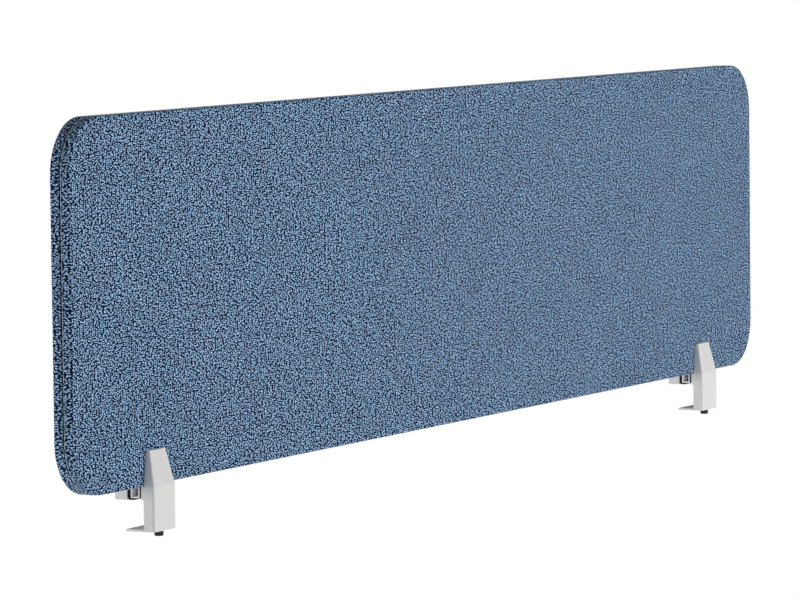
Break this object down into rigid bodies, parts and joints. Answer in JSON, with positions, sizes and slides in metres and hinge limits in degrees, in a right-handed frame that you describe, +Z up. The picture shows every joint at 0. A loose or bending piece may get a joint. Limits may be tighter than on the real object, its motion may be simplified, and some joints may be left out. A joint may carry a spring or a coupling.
{
  "type": "desk privacy panel",
  "caption": "Long upholstered privacy screen with rounded corners on two white steel clamps that grip the edge of a desk with a screw-driven jaw.",
  "frame": {"origin": "middle of the overall box at its lowest point, level with the undersides of the two clamp screw heads; the desk top's surface is 40.1 mm above it", "axes": "+X along the panel's length to the right as seen from its front, +Y from the front face (with the clamps' cover plates) to the rear face and over the desk, +Z up"},
  "size_m": [1.8, 0.0526, 0.4549],
  "materials": {
    "fabric": "blue melange wool-felt upholstery",
    "foam": "thin white padding",
    "board": "raw fibreboard",
    "dowel": "raw beech",
    "seam_strip": "matt black strip",
    "white_steel": "white powder coat, fine texture",
    "spacer_metal": "plain aluminium",
    "rubber": "matt black rubber",
    "zinc_steel": "bright zinc plate",
    "black_screw": "black oxide"
  },
  "bodies": {
    "panel": {"front_cover": "fabric", "rear_cover": "fabric", "front_foam": "foam", "rear_foam": "foam", "front_board": "board", "rear_board": "board", "seam_strip": "seam_strip", "panel_dowel_1": "dowel", "panel_dowel_2": "dowel", "panel_dowel_3": "dowel", "panel_dowel_4": "dowel", "panel_dowel_5": "dowel", "panel_dowel_6": "dowel", "left_front_shell": "white_steel", "left_rear_shell": "white_steel", "left_spacer_tube": "spacer_metal", "left_front_liner": "rubber", "left_rear_liner": "rubber", "left_clamp_nut": "zinc_steel", "left_tie_bolt_a": "zinc_steel", "left_tie_bolt_b": "zinc_steel", "left_weld_nut_a": "zinc_steel", "left_weld_nut_b": "zinc_steel", "right_front_shell": "white_steel", "right_rear_shell": "white_steel", "right_spacer_tube": "spacer_metal", "right_front_liner": "rubber", "right_rear_liner": "rubber", "right_clamp_nut": "zinc_steel", "right_tie_bolt_a": "zinc_steel", "right_tie_bolt_b": "zinc_steel", "right_weld_nut_a": "zinc_steel", "right_weld_nut_b": "zinc_steel"},
    "left_jaw": {"left_lower_jaw": "white_steel"},
    "left_screw": {"left_clamp_screw": "black_screw", "left_screw_clip": "zinc_steel"},
    "right_jaw": {"right_lower_jaw": "white_steel"},
    "right_screw": {"right_clamp_screw": "black_screw", "right_screw_clip": "zinc_steel"}
  },
  "joints": [
    {"name": "left_jaw_slide", "type": "slide", "parent": "panel", "child": "left_jaw", "axis": [0, 0, 1], "range_m": [0, 0.018]},
    {"name": "left_screw_turn", "type": "hinge", "parent": "left_jaw", "child": "left_screw", "pos_m": [-0.73, -0.01812, 0.0059], "axis": [0, 0, 1], "range_deg": [0, 6480]},
    {"name": "right_jaw_slide", "type": "slide", "parent": "panel", "child": "right_jaw", "axis": [0, 0, 1], "range_m": [0, 0.018]},
    {"name": "right_screw_turn", "type": "hinge", "parent": "right_jaw", "child": "right_screw", "pos_m": [0.73, -0.01812, 0.0059], "axis": [0, 0, 1], "range_deg": [0, 6480]}
  ],
  "couplings": [
    {"joint": "left_screw_turn", "follows": "left_jaw_slide", "rad_per_m": 6283.2},
    {"joint": "right_screw_turn", "follows": "right_jaw_slide", "rad_per_m": 6283.2}
  ]
}
